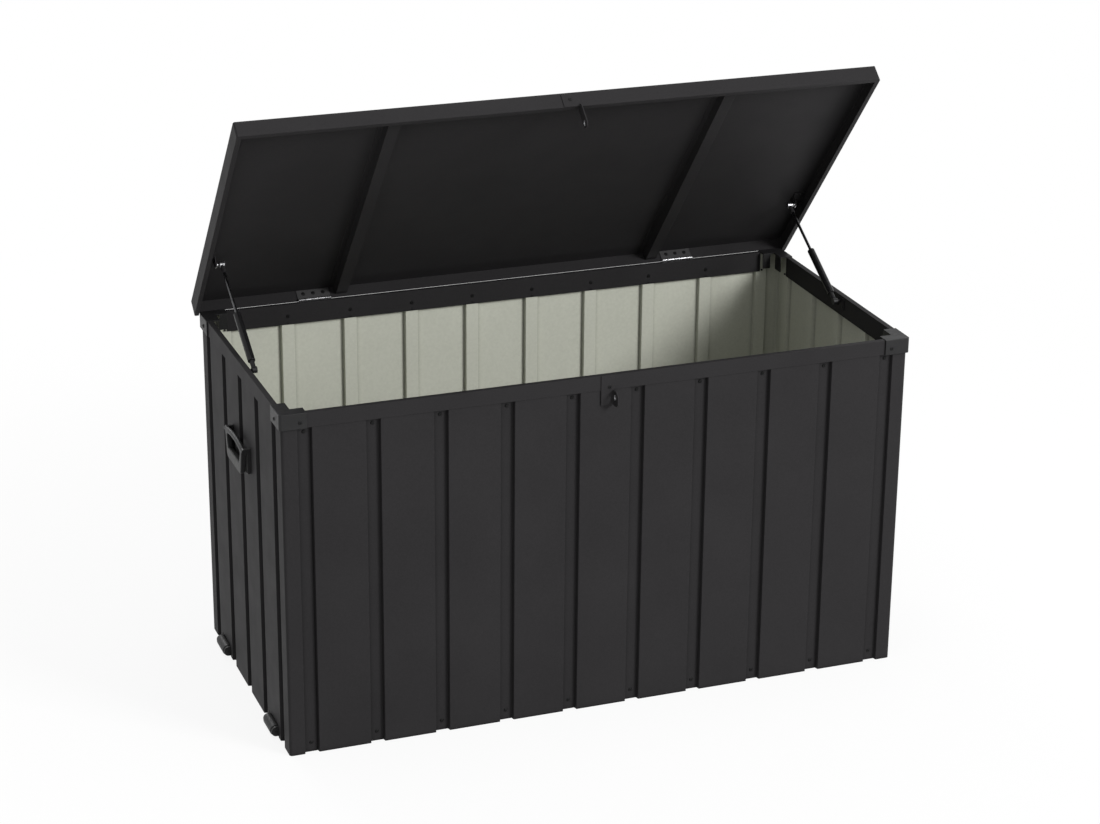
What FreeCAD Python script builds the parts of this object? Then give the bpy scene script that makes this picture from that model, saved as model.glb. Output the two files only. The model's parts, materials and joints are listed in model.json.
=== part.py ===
import FreeCAD, Part
import math
import os
from FreeCAD import Vector

# Garden storage chest, sheet steel, with its lid held open by two gas struts.
# Millimetres. +Z up, -Y is the front, +X the right. The origin is the centre of the floor, on the ground.
# The lid is modelled open, at the stop of its hinges.

# Body, over the raised bands of the wall sheets
body_width = 1290.0
body_depth = 606.0
body_height = 708.0

# Wall sheet and its roll-formed profile
sheet = 0.8
front_corner_band = 45.15
front_recesses = 10
side_corner_band = 53.0
side_recesses = 5
recess_floor = 25.0
recess_slope = 2.0
recess_depth = 8.0
lap_gap = 0.6
corner_radius = 6.0

# Top rail, a folded channel that grips the wall sheets
rail_sheet = 1.0
rail_outer_leg = 30.0
rail_inner_leg = 43.0
rail_play = 0.2

# Bottom rail, an angle behind the wall sheets, and the floor sheet under it
angle_sheet = 1.2
angle_height = 40.0
angle_flange = 30.0
floor_play = 0.3

# Moulded corner caps
cap_proud = 4.0
cap_rise = 1.0
cap_front_arm = 53.0
cap_side_arm = 62.0
cap_arm_width = 28.0
cap_tab_height = 34.0
cap_tab_sheet = 2.0
cap_tab_gap = 8.0
cap_skirt = 30.0
cap_play = 0.3
cap_screw_drop = 18.5
cap_front_screw = 40.0
cap_side_screw = 36.0

# Lid pan
lid_side_overhang = 14.5
lid_front_overhang = 17.6
lid_sheet = 1.0
lid_skirt = 33.0
lid_lip = 9.5
lid_overlap = 5.5
lid_corner_radius = 4.0
lid_open_angle = 50.0

# Stiffening channels under the lid
stiffener_offset = 346.0
stiffener_base = 48.0
stiffener_crown = 22.0
stiffener_height = 17.0
stiffener_flange = 11.0
stiffener_end_gap = 3.0

# Butt hinges
hinge_offset = 405.0
hinge_width = 69.0
hinge_leaf_sheet = 1.5
hinge_leaf_height = 24.5
hinge_knuckles = 5
hinge_knuckle_radius = 3.0
hinge_pin_radius = 1.5
hinge_bore_play = 0.05
hinge_knuckle_gap = 0.4
hinge_rail_play = 0.2
hinge_pin_rise = 1.5
hinge_screw_pitch = 21.0
hinge_screw_height = 15.5
hinge_web = 1.8

# Gas struts
strut_inset = 24.0
strut_lower_forward = 25.0
strut_lower_drop = 11.0
strut_upper_reach = 158.5
strut_upper_height = 9.0
strut_tube_radius = 7.5
strut_tube_length = 122.0
strut_tube_wall = 1.2
strut_gland_length = 5.0
strut_rod_radius = 3.0
strut_rod_play = 0.05
strut_piston_length = 7.5
strut_piston_play = 0.3
strut_rod_seat = 4.0
strut_end_radius = 6.5
strut_end_width = 10.0
strut_end_neck = 22.0
strut_end_neck_radius = 4.6
ball_radius = 4.0
ball_play = 0.3
stud_radius = 2.5
open_pivot_gap = 0.4
bracket_sheet = 2.0
bracket_corner = 3.0
lower_plate_length = 34.0
lower_plate_height = 26.0
lower_plate_drop = 18.0
lower_screw_pitch = 23.0
lower_screw_drop = 10.0
upper_plate_length = 44.0
upper_plate_width = 26.0
upper_screw_pitch = 29.0
upper_screw_inset = 16.0
upper_ear_width = 24.0

# Carrying handles
handle_height = 547.0
handle_grip_length = 126.0
handle_grip_foot = 104.0
handle_grip_drop = 54.0
handle_grip_thickness = 10.0
handle_loop_thickness = 8.6
handle_grip_bar = 22.0
handle_grip_rise = 6.0
handle_leg_width = 12.0
handle_leg_taper = 2.4
handle_edge = 1.5
handle_base_thickness = 7.0
handle_base_drop = 8.0
handle_base_rim = 4.0
handle_base_bottom = 49.0
handle_base_corner = 6.0
handle_recess_depth = 5.0
handle_recess_margin = 9.0
handle_ear_width = 6.0
handle_side_play = 0.5
handle_back_play = 1.0
trunnion_radius = 3.0
trunnion_play = 0.08

# Rollers under the left end
roller_radius = 11.5
roller_length = 52.0
roller_outset = 4.0
roller_ground_gap = 1.5
roller_play = 1.5
roller_side_play = 1.0
roller_bore_play = 0.08
roller_edge = 2.0
axle_radius = 3.0
housing_wall = 2.0
cheek_thickness = 5.0
cheek_inset = 1.5
housing_flange = 4.0

# Padlock eyes
lock_plate_left = -11.0
lock_plate_width = 26.5
lock_plate_sheet = 1.5
lock_lid_plate_left = -15.0
lock_blade_sheet = 2.0
lock_blade_reach = 27.0
lock_blade_above = 12.0
lock_blade_below = 18.0
lock_eye_drop = 43.0
lock_eye_radius = 6.5
lock_eye_reach = 15.0
lock_blade_gap = 1.5
lock_screw_inset = 9.0
lock_screw_drop = 24.0
lock_bevel = 7.5
lock_eye_wall = 4.0
lock_lid_tip = 10.0
lock_lid_bevel = 5.0

# Screws
screw_head_radius = 4.2
screw_crown_radius = 2.5
screw_head_height = 2.0
screw_shank_radius = 2.0
screw_shank_length = 3.5
cross_length = 4.2
cross_width = 0.9
cross_depth = 1.2
recess_screw_top = 40.0
recess_screw_bottom = 20.0
rivet_height = 25.0

# Planes and levels worked out from the sizes above
half_width = body_width / 2
half_depth = body_depth / 2
front_pitch = (body_width - 2 * front_corner_band) / (front_recesses - 1)
side_pitch = (body_depth - 2 * side_corner_band) / (side_recesses - 1)
recess_half = recess_floor / 2
recess_mouth = recess_half + recess_slope
lap_depth = recess_depth - sheet
wall_inner = recess_depth + sheet
wall_top = body_height - rail_sheet - rail_play
rail_proud = rail_sheet
rail_clear = wall_inner + rail_play
rail_inner = rail_clear + rail_sheet
cap_top = body_height + cap_rise
front_arm_end = half_width + cap_proud - cap_front_arm
side_arm_end = half_depth + cap_proud - cap_side_arm
floor_rib_top = recess_depth + sheet
floor_half_width = half_width - wall_inner - floor_play
floor_half_depth = half_depth - wall_inner - floor_play

pin_y = half_depth + rail_proud + hinge_knuckle_radius + hinge_rail_play
pin_z = body_height + hinge_pin_rise
lid_bottom = body_height - lid_overlap - pin_z
lid_top = lid_bottom + lid_skirt
lid_under = lid_top - lid_sheet
lid_rear_inner = hinge_knuckle_radius + hinge_rail_play
lid_rear = lid_rear_inner + lid_sheet
lid_front = -half_depth - lid_front_overhang - pin_y
lid_half = half_width + lid_side_overhang
hinge_pin = Vector(0, pin_y, pin_z)

strut_x = half_width - strut_inset
strut_lower = Vector(0, -strut_lower_forward, body_height - strut_lower_drop)
strut_upper_closed = Vector(0, pin_y - strut_upper_reach, pin_z + strut_upper_height)
strut_bore = strut_tube_radius - strut_tube_wall
upper_ball_end = strut_x + strut_end_width / 2 + open_pivot_gap

handle_axis_out = handle_base_thickness + handle_back_play + handle_grip_thickness / 2
handle_base_half = handle_grip_length / 2 + handle_side_play + handle_ear_width
roller_x = half_width + roller_outset
roller_z = roller_radius + roller_ground_gap
roller_pocket = roller_radius + roller_play
housing_half = roller_length / 2 + roller_side_play + cheek_thickness
housing_top = roller_z + roller_pocket + housing_wall

lock_plate_right = lock_plate_left + lock_plate_width
lock_lid_blade_x = lock_plate_right + lock_blade_gap
lock_screw_x = lock_plate_right - lock_screw_inset
lock_eye_y = -half_depth - lock_eye_reach
lock_eye_height = body_height - lock_eye_drop
lock_blade_low = lock_eye_height - lock_blade_below
lock_blade_high = lock_eye_height + lock_blade_above


def box(x0, x1, y0, y1, z0, z1):
    """A block between the given corners."""
    return Part.makeBox(x1 - x0, y1 - y0, z1 - z0, Vector(x0, y0, z0))


def prism(points, direction):
    """A solid made by pulling a closed outline along a direction."""
    wire = Part.makePolygon([Vector(*p) for p in points] + [Vector(*points[0])])
    return Part.Face(wire).extrude(direction)


def offset_line(points, distance):
    """The line of 2-D points moved to its left, with mitred corners."""
    normals = []
    for (x0, y0), (x1, y1) in zip(points, points[1:]):
        length = math.hypot(x1 - x0, y1 - y0)
        normals.append((-(y1 - y0) / length, (x1 - x0) / length))
    moved = []
    for i, (x, y) in enumerate(points):
        before = normals[max(i - 1, 0)]
        after = normals[min(i, len(normals) - 1)]
        bisector = (before[0] + after[0], before[1] + after[1])
        scale = distance * 2 / (bisector[0] ** 2 + bisector[1] ** 2)
        moved.append((x + bisector[0] * scale, y + bisector[1] * scale))
    return moved


def folded(points, thickness):
    """The closed outline of a sheet folded along a line of 2-D points."""
    return points + offset_line(points, thickness)[::-1]


def mirror_x(shape):
    """The same piece on the other side of the chest."""
    return shape.mirror(Vector(0, 0, 0), Vector(1, 0, 0))


def mirror_y(shape):
    """The same piece on the opposite wall."""
    return shape.mirror(Vector(0, 0, 0), Vector(0, 1, 0))


def opened(shape):
    """A lid piece, modelled on the closed lid, turned to the open stop."""
    turned = shape.copy()
    turned.rotate(hinge_pin, Vector(1, 0, 0), -lid_open_angle)
    return turned


def recess_centres(pitch, count):
    """Centres of the recesses of one wall, from its middle."""
    return [(i - (count - 1) / 2) * pitch for i in range(count)]


def profile_line(pitch, count):
    """Outer line of a wall sheet from its first recess floor to its last."""
    centres = recess_centres(pitch, count)
    line = [(centres[0] - recess_half + lap_gap, recess_depth)]
    for left, right in zip(centres, centres[1:]):
        line.append((left + recess_half, recess_depth))
        line.append((left + recess_mouth, 0.0))
        line.append((right - recess_mouth, 0.0))
        line.append((right - recess_half, recess_depth))
    line.append((centres[-1] + recess_half - lap_gap, recess_depth))
    return line


def wall(pitch, count, place):
    """A roll-formed wall sheet. place turns (along, depth) into X and Y."""
    outline = folded(profile_line(pitch, count), sheet)
    return prism([place(a, d) + (0.0,) for a, d in outline], Vector(0, 0, wall_top))


def front_panel():
    return wall(front_pitch, front_recesses, lambda a, d: (a, -half_depth + d))


def side_panel():
    """The left wall as a plain sheet."""
    return wall(side_pitch, side_recesses, lambda a, d: (-half_width + d, -a))


def roller_places():
    """Middle of the end bands of the left wall, where the rollers sit."""
    centres = recess_centres(side_pitch, side_recesses)
    return [(centres[0] + centres[1]) / 2, (centres[-1] + centres[-2]) / 2]


def roller_cut(y, flange):
    """Room for one roller and its housing, with or without the housing's flange."""
    reach = housing_half + flange + floor_play
    inner = -roller_x + roller_pocket + housing_wall + floor_play
    return box(-half_width - sheet, inner, y - reach, y + reach, -sheet, housing_top + flange + floor_play)


def left_panel():
    panel = side_panel()
    for y in roller_places():
        panel = panel.cut(roller_cut(y, 0.0))
    return panel


def corner_column():
    """The front left corner: two raised strips, each stepping into a recess."""
    front = recess_centres(front_pitch, front_recesses)[0]
    side = recess_centres(side_pitch, side_recesses)[0]
    line = [
        (front + recess_half - lap_gap, -half_depth + lap_depth),
        (front - recess_half, -half_depth + lap_depth),
        (front - recess_mouth, -half_depth),
        (-half_width, -half_depth),
        (-half_width, side - recess_mouth),
        (-half_width + lap_depth, side - recess_half),
        (-half_width + lap_depth, side + recess_half - lap_gap),
    ]
    outline = folded(line[::-1], sheet)
    column = prism([(x, y, 0.0) for x, y in outline], Vector(0, 0, wall_top))
    outer = near_edges(column, -half_width, -half_depth)
    column = column.makeFillet(corner_radius, outer)
    inner = near_edges(column, -half_width + sheet, -half_depth + sheet)
    return column.makeFillet(corner_radius - sheet, inner)


def near_edges(shape, x, y):
    """Upright edges of a shape that stand at a given X and Y."""
    found = []
    for edge in shape.Edges:
        ends = [v.Point for v in edge.Vertexes]
        if all(abs(p.x - x) < 1e-4 and abs(p.y - y) < 1e-4 for p in ends):
            found.append(edge)
    return found


def floor_panel():
    """Ribbed floor sheet. Its bands lie on the ground and its ribs stand up."""
    centres = recess_centres(front_pitch, front_recesses)
    line = [(-floor_half_width, 0.0)]
    for c in centres:
        line.append((c - recess_mouth, 0.0))
        line.append((c - recess_half, recess_depth))
        line.append((c + recess_half, recess_depth))
        line.append((c + recess_mouth, 0.0))
    line.append((floor_half_width, 0.0))
    outline = folded(line, sheet)
    panel = prism([(x, -floor_half_depth, z) for x, z in outline], Vector(0, 2 * floor_half_depth, 0))
    for y in roller_places():
        panel = panel.cut(roller_cut(y, housing_flange))
    return panel


def angle_outline(edge):
    """Section of the bottom rail: upright leg against the wall, flange on the ribs."""
    line = [
        (edge - wall_inner, floor_rib_top + angle_height),
        (edge - wall_inner, floor_rib_top),
        (edge - wall_inner - angle_flange, floor_rib_top),
    ]
    return folded(line, -angle_sheet)


def bottom_rail_front():
    reach = half_width - wall_inner - floor_play
    points = [(-reach, -a, z) for a, z in angle_outline(half_depth)]
    return prism(points, Vector(2 * reach, 0, 0))


def bottom_rail_side():
    """The left angle, between the front and the back one."""
    reach = half_depth - wall_inner - angle_flange - floor_play
    points = [(-a, -reach, z) for a, z in angle_outline(half_width)]
    return prism(points, Vector(0, 2 * reach, 0))


def bottom_rail_left():
    rail = bottom_rail_side()
    for y in roller_places():
        rail = rail.cut(roller_cut(y, housing_flange))
    return rail


def rail_outline():
    """Section of the top rail as (depth into the wall, height)."""
    line = [
        (0.0, body_height - rail_outer_leg),
        (0.0, body_height - rail_sheet),
        (rail_clear, body_height - rail_sheet),
        (rail_clear, body_height - rail_inner_leg),
    ]
    return folded(line, rail_sheet)


def top_rail_front():
    reach = front_arm_end - cap_play
    points = [(-reach, -half_depth + d, z) for d, z in rail_outline()]
    return prism(points, Vector(2 * reach, 0, 0))


def top_rail_side():
    reach = side_arm_end - cap_play
    points = [(-half_width + d, -reach, z) for d, z in rail_outline()]
    return prism(points, Vector(0, 2 * reach, 0))


def corner_cap():
    """Moulded cap of the front left corner: plate, outer skirt and two inner tabs."""
    x0 = -half_width - cap_proud
    y0 = -half_depth - cap_proud
    arm = cap_arm_width
    plan = [
        (x0, y0), (x0 + cap_front_arm, y0), (x0 + cap_front_arm, y0 + arm), (x0 + arm, y0 + arm),
        (x0 + arm, y0 + cap_side_arm), (x0, y0 + cap_side_arm),
    ]
    plate_bottom = wall_top + cap_play / 2
    cap = prism([(x, y, plate_bottom) for x, y in plan], Vector(0, 0, cap_top - plate_bottom))
    skirt_bottom = cap_top - cap_skirt - cap_rise
    skirt = cap_proud - cap_play
    cap = cap.fuse(box(x0, x0 + cap_front_arm, y0, y0 + skirt, skirt_bottom, cap_top))
    cap = cap.fuse(box(x0, x0 + skirt, y0, y0 + cap_side_arm, skirt_bottom, cap_top))
    tab_bottom = cap_top - cap_tab_height
    start = arm + cap_tab_gap
    tab = arm - cap_tab_sheet
    cap = cap.fuse(box(x0 + start, x0 + cap_front_arm, y0 + tab, y0 + arm, tab_bottom, cap_top))
    cap = cap.fuse(box(x0 + tab, x0 + arm, y0 + start, y0 + cap_side_arm, tab_bottom, cap_top))
    cap = cap.removeSplitter()
    outer = near_edges(cap, x0, y0)
    cap = cap.makeFillet(corner_radius, outer)
    top_edges = [e for e in cap.Edges if outer_top_edge(e, x0, y0)]
    return cap.makeChamfer(cap_rise / 2, top_edges)


def outer_top_edge(edge, x0, y0):
    """True for the straight top edges along the two outer faces of a cap."""
    ends = [v.Point for v in edge.Vertexes]
    if len(ends) < 2 or any(abs(p.z - cap_top) > 1e-4 for p in ends):
        return False
    along_front = all(abs(p.y - y0) < 1e-4 for p in ends)
    along_side = all(abs(p.x - x0) < 1e-4 for p in ends)
    return along_front or along_side


def lid_pan():
    """Lid sheet with its skirts and lips, lid closed, the front, left and right skirts deeper."""
    top = pin_z + lid_top
    bottom = pin_z + lid_bottom
    under = pin_z + lid_under
    y_front = pin_y + lid_front
    y_rear = pin_y + lid_rear
    pan = box(-lid_half, lid_half, y_front, y_rear, bottom, top)
    upright = [e for e in pan.Edges if abs(e.Vertexes[0].Point.z - e.Vertexes[1].Point.z) > lid_sheet]
    pan = pan.makeFillet(lid_corner_radius, upright)
    t = lid_sheet
    hollow = box(-lid_half + t, lid_half - t, y_front + t, y_rear - t, bottom + t, under)
    inner_upright = [e for e in hollow.Edges if abs(e.Vertexes[0].Point.z - e.Vertexes[1].Point.z) > t]
    hollow = hollow.makeFillet(lid_corner_radius - t, inner_upright)
    pan = pan.cut(hollow)
    mouth = box(-lid_half + lid_lip, lid_half - lid_lip, y_front + lid_lip, y_rear - t, bottom - 1, under)
    pan = pan.cut(mouth)
    inner = lid_half - lid_lip
    return pan.cut(box(-inner, inner, y_rear - lid_lip, y_rear + 1, bottom - 1, pin_z))


def lid_stiffener():
    """Folded hat channel under the lid, right of the middle, lid closed."""
    z = pin_z + lid_under
    base = stiffener_base / 2
    crown = stiffener_crown / 2
    foot = base - stiffener_flange
    low = z - stiffener_height
    t = lid_sheet
    line = [(-base, z), (-foot, z), (-crown, low), (crown, low), (foot, z), (base, z)]
    y0 = pin_y + lid_front + lid_lip + stiffener_end_gap
    y1 = pin_y + lid_rear - t - stiffener_end_gap
    points = [(stiffener_offset + x, y0, h) for x, h in folded(line, -t)]
    return prism(points, Vector(0, y1 - y0, 0))


def knuckle_span(index):
    """Start and end of one knuckle along the hinge, from its middle."""
    pitch = hinge_width / hinge_knuckles
    start = -hinge_width / 2 + index * pitch
    first = hinge_knuckle_gap / 2 if index else 0.0
    last = hinge_knuckle_gap / 2 if index < hinge_knuckles - 1 else 0.0
    return start + first, start + pitch - last


def cylinder_x(x0, x1, y, z, radius):
    """A round bar along X."""
    return Part.makeCylinder(radius, x1 - x0, Vector(x0, y, z), Vector(1, 0, 0))


def hinge_leaf(x, up):
    """One leaf with its knuckles. up is 1 for the leaf on the lid and -1 for the one on the rail."""
    r = hinge_knuckle_radius
    play = hinge_rail_play
    face = r + play
    y0, y1 = (face - hinge_leaf_sheet, face) if up > 0 else (-face, -face + hinge_leaf_sheet)
    z0, z1 = (0.0, hinge_leaf_height) if up > 0 else (-hinge_leaf_height, 0.0)
    half = hinge_width / 2
    leaf = box(x - half, x + half, pin_y + y0, pin_y + y1, pin_z + z0, pin_z + z1)
    own = range(1, hinge_knuckles, 2) if up > 0 else range(0, hinge_knuckles, 2)
    for i in range(hinge_knuckles):
        a, b = knuckle_span(i)
        if i in own:
            leaf = leaf.fuse(cylinder_x(x + a, x + b, pin_y, pin_z, r))
            near = pin_y + min(y0, 0)
            far = pin_y + max(y1, 0)
            leaf = leaf.fuse(box(x + a, x + b, near, far, pin_z - hinge_web / 2, pin_z + hinge_web / 2))
        else:
            gap = hinge_knuckle_gap
            leaf = leaf.cut(cylinder_x(x + a - gap, x + b + gap, pin_y, pin_z, r + gap))
    bore = cylinder_x(x - half - 1, x + half + 1, pin_y, pin_z, hinge_pin_radius + hinge_bore_play)
    return leaf.cut(bore).removeSplitter()


def hinge_pin_bar(x):
    half = hinge_width / 2
    return cylinder_x(x - half, x + half, pin_y, pin_z, hinge_pin_radius)


def strut_frame():
    """Direction and length of the strut from its lower ball to its upper one, lid open."""
    upper = turned_point(strut_upper_closed)
    run = upper - strut_lower
    return upper, run.Length, math.degrees(math.atan2(run.z, run.y))


def turned_point(point):
    """A point of the closed lid, turned to the open stop."""
    angle = math.radians(-lid_open_angle)
    y = point.y - pin_y
    z = point.z - pin_z
    c = math.cos(angle)
    s = math.sin(angle)
    return Vector(point.x, pin_y + y * c - z * s, pin_z + y * s + z * c)


def along_strut(shape):
    """Turns a piece modelled along +Y from the lower ball to the strut's direction."""
    placed = shape.copy()
    placed.translate(Vector(strut_x, strut_lower.y, strut_lower.z))
    pivot = Vector(strut_x, strut_lower.y, strut_lower.z)
    placed.rotate(pivot, Vector(1, 0, 0), strut_frame()[2])
    return placed


def strut_bar(start, end, radius):
    """A round bar of the strut, by its distances from the lower ball."""
    return Part.makeCylinder(radius, end - start, Vector(0, start, 0), Vector(0, 1, 0))


def strut_tube():
    """Pressure tube with its rolled mouth, open for the rod."""
    start = strut_end_neck
    end = start + strut_tube_length
    tube = strut_bar(start, end, strut_tube_radius)
    edges = [e for e in tube.Edges if len(e.Vertexes) == 1]
    tube = tube.makeFillet(strut_tube_wall, edges)
    bore = strut_bar(start + strut_gland_length, end, strut_bore)
    return along_strut(tube.cut(bore))


def strut_gland():
    """Guide and seal that closes the mouth of the tube around the rod."""
    end = strut_end_neck + strut_tube_length
    ring = strut_bar(end - strut_gland_length, end - strut_tube_wall / 2, strut_bore)
    return along_strut(ring.cut(strut_bar(0, end + 1, strut_rod_radius + strut_rod_play)))


def strut_rod():
    """Piston rod, with its piston just under the gland, where the open lid leaves it."""
    end = strut_frame()[1] - strut_end_neck + strut_rod_seat
    gland = strut_end_neck + strut_tube_length - strut_gland_length
    start = gland - strut_piston_play - strut_piston_length
    rod = strut_bar(start, end, strut_rod_radius)
    piston = strut_bar(start, start + strut_piston_length, strut_bore - strut_piston_play)
    return along_strut(rod.fuse(piston))


def strut_socket(at_length, facing, bored):
    """Moulded ball socket at one end of the strut. facing is 1 where its neck points along the strut."""
    half = strut_end_width / 2
    cup = cylinder_x(-half, half, at_length, 0.0, strut_end_radius)
    neck_end = at_length + facing * strut_end_neck
    neck = strut_bar(min(at_length, neck_end), max(at_length, neck_end), strut_end_neck_radius)
    socket = cup.fuse(neck)
    if bored:
        seat = Part.makeSphere(ball_radius + ball_play, Vector(0, at_length, 0))
        way = cylinder_x(0.0, half + 1, at_length, 0.0, ball_radius + ball_play)
        socket = socket.cut(seat.fuse(way))
    return socket.removeSplitter()


def strut_lower_socket():
    return along_strut(strut_socket(0.0, 1, True))


def strut_upper_socket():
    """The upper socket, bored over the end of the rod."""
    length = strut_frame()[1]
    socket = strut_socket(length, -1, False)
    neck = length - strut_end_neck
    return along_strut(socket.cut(strut_bar(neck - 1, neck + strut_rod_seat, strut_rod_radius)))


def ball_stud(ball_x, seat_x, y, z):
    """A ball on its shank along X, turned from one profile. The shank stands on the seat."""
    shank = math.sqrt(ball_radius ** 2 - stud_radius ** 2)
    pole = Vector(ball_x - ball_radius, y, z)
    waist = Vector(ball_x, y, z + ball_radius)
    neck = Vector(ball_x + shank, y, z + stud_radius)
    foot = Vector(seat_x, y, z + stud_radius)
    centre = Vector(seat_x, y, z)
    arc = Part.Arc(pole, waist, neck).toShape()
    lines = [Part.makeLine(neck, foot), Part.makeLine(foot, centre), Part.makeLine(centre, pole)]
    face = Part.Face(Part.Wire([arc] + lines))
    return face.revolve(centre, Vector(1, 0, 0), 360)


def lower_bracket():
    """Plate on the inner leg of the right rail, with the ball stud of the strut."""
    face = half_width - rail_inner
    half = lower_plate_length / 2
    y = strut_lower.y
    z = strut_lower.z
    low = z - lower_plate_drop
    plate = box(face - bracket_sheet, face, y - half, y + half, low, low + lower_plate_height)
    plate = plate.makeFillet(bracket_corner, [e for e in plate.Edges if across(e)])
    return plate.fuse(ball_stud(strut_x, face, y, z))


def upper_bracket():
    """Angle under the lid, with the upper ball stud of the right strut, lid closed."""
    under = pin_z + lid_under
    y = strut_upper_closed.y
    z = strut_upper_closed.z
    ear_x = upper_ball_end + 2 * ball_radius - bracket_sheet
    half = upper_plate_length / 2
    base = box(ear_x, ear_x + upper_plate_width, y - half, y + half, under - bracket_sheet, under)
    top = upper_ear_width / 2
    tip = upper_ear_width / 4
    low = z - ball_radius - bracket_sheet
    outline = [(ear_x, y - top, under), (ear_x, y + top, under), (ear_x, y + tip, low), (ear_x, y - tip, low)]
    ear = prism(outline, Vector(bracket_sheet, 0, 0))
    stud = ball_stud(upper_ball_end + ball_radius, ear_x + bracket_sheet / 2, y, z)
    return base.fuse(ear).fuse(stud).removeSplitter()


def cylinder_y(x, y0, y1, z, radius):
    """A round bar along Y."""
    return Part.makeCylinder(radius, y1 - y0, Vector(x, y0, z), Vector(0, 1, 0))


def across(edge):
    """True for a straight edge that runs along X."""
    return len(edge.Vertexes) == 2 and abs(edge.Vertexes[0].Point.x - edge.Vertexes[1].Point.x) > 1e-3


def handle_base():
    """Moulded base of the left handle: a plate with a finger recess and the grip's two posts."""
    face = -half_width
    out = face - handle_base_thickness
    half = handle_base_half
    low = handle_height - handle_base_bottom
    high = handle_height - handle_base_drop
    base = box(out, face, -half, half, low, high)
    lower = [e for e in base.Edges if across(e) and e.BoundBox.ZMax < high]
    base = base.makeFillet(handle_base_corner, lower)
    margin = handle_recess_margin
    recess_side = half - handle_ear_width - margin
    deep = out + handle_recess_depth
    recess = box(out, deep, -recess_side, recess_side, low + margin, high - handle_base_rim)
    recess = recess.makeFillet(handle_base_corner, [e for e in recess.Edges if across(e)])
    base = base.cut(recess)
    axis_x = face - handle_axis_out
    ear_radius = handle_grip_thickness / 2
    inner = handle_grip_length / 2 + handle_side_play
    for side in (-1, 1):
        y0, y1 = sorted((side * inner, side * (inner + handle_ear_width)))
        base = base.fuse(cylinder_y(axis_x, y0, y1, handle_height, ear_radius))
        ear_low = handle_height - ear_radius
        ear_high = handle_height + ear_radius
        base = base.fuse(box(axis_x, face, y0, y1, ear_low, ear_high))
        base = base.fuse(box(out, face, y0, y1, high - handle_base_corner, ear_high))
    bore = cylinder_y(axis_x, -half, half, handle_height, trunnion_radius + trunnion_play)
    return base.cut(bore).removeSplitter()


def grip_outline(x, half, top, rise, foot, low):
    """A face across X: straight foot, leaning sides, and a top arched by rise."""
    left = Vector(x, -half, top)
    right = Vector(x, half, top)
    foot_left = Vector(x, -foot, low)
    foot_right = Vector(x, foot, low)
    arch = Part.Arc(left, Vector(x, 0, top + rise), right).toShape()
    sides = Part.makePolygon([right, foot_right, foot_left, left])
    return Part.Face(Part.Wire([arch] + sides.Edges))


def handle_grip():
    """The hinged grip of the left handle: a tapered loop with an arched round top bar."""
    axis_x = -half_width - handle_axis_out
    r = handle_grip_thickness / 2
    half = handle_grip_length / 2
    foot = handle_grip_foot / 2
    low = handle_height - handle_grip_drop
    front = axis_x - handle_loop_thickness / 2
    rise = handle_grip_rise
    leg = handle_leg_width
    thick = Vector(handle_loop_thickness, 0, 0)
    loop = grip_outline(front, half, handle_height, rise, foot, low).extrude(thick)
    lower = [e for e in loop.Edges if across(e) and e.BoundBox.ZMax < handle_height - r]
    loop = loop.makeFillet(leg, lower)
    narrow = foot - leg + handle_leg_taper
    opening = grip_outline(front, half - leg, handle_height - r, rise, narrow, low + handle_grip_bar)
    finger = opening.extrude(thick)
    finger = finger.makeFillet(r, [e for e in finger.Edges if across(e)])
    loop = loop.cut(finger)
    loop = loop.makeChamfer(handle_edge, grip_rims(loop, front))
    loop = loop.fuse(arched_bar(axis_x, half - r, rise, r))
    end = half + handle_side_play + handle_ear_width
    for side in (-1, 1):
        y0, y1 = sorted((side * half, side * (half - leg)))
        loop = loop.fuse(cylinder_y(axis_x, y0, y1, handle_height, r))
    trunnions = cylinder_y(axis_x, -end, end, handle_height, trunnion_radius)
    hole = cylinder_y(axis_x, -half + leg, half - leg, handle_height, trunnion_radius)
    return loop.fuse(trunnions.cut(hole)).removeSplitter()


def arched_bar(x, half, rise, radius):
    """A round bar along Y, bent upward by rise, part of a ring about X."""
    bend = (half ** 2 + rise ** 2) / (2 * rise)
    centre = Vector(x, 0, handle_height + rise - bend)
    section = Part.Face(Part.Wire(Part.makeCircle(radius, centre + Vector(0, 0, bend), Vector(0, 1, 0))))
    angle = math.degrees(math.asin(half / bend))
    section.rotate(centre, Vector(1, 0, 0), -angle)
    return section.revolve(centre, Vector(1, 0, 0), 2 * angle)


def grip_rims(loop, front):
    """The edges around the outer face of the grip, without its straight top."""
    flat = [e for e in loop.Edges if e.BoundBox.XLength < 1e-6 and abs(e.BoundBox.XMin - front) < 1e-6]
    return [e for e in flat if e.BoundBox.ZMin < handle_height - 1e-3]


def roller(y):
    """Roller with rounded ends and a bore for its axle."""
    half = roller_length / 2
    body = cylinder_y(-roller_x, y - half, y + half, roller_z, roller_radius)
    body = body.makeFillet(roller_edge, [e for e in body.Edges if len(e.Vertexes) == 1])
    return body.cut(cylinder_y(-roller_x, y - half, y + half, roller_z, axle_radius + roller_bore_play))


def roller_axle(y):
    return cylinder_y(-roller_x, y - housing_half, y + housing_half, roller_z, axle_radius)


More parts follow.
